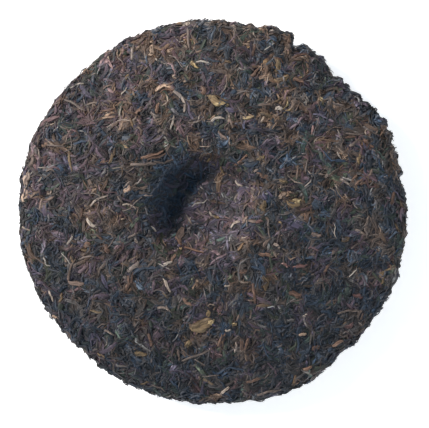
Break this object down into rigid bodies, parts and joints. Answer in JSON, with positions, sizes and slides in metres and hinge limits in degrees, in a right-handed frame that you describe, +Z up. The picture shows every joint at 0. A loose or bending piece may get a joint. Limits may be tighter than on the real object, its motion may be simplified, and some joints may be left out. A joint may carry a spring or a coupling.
{
  "type": "pu-erh tea cake",
  "caption": "Round cake of pressed dark tea leaves, thick in the middle and rounded at the edge, lying face down with the dimple of its back up.",
  "frame": {"origin": "under the middle of the cake, on the surface that its domed front face rests on", "axes": "+Z up out of the back with the dimple, +Y towards the top of the view from above, the flaked stretch of the edge at 48 degrees from +X towards +Y"},
  "size_m": [0.1996, 0.1978, 0.0262],
  "materials": {
    "pressed_leaf": "dark dry pressed leaf, matt with a slight sheen"
  },
  "bodies": {
    "root": {"tea_cake": "pressed_leaf"}
  },
  "joints": []
}
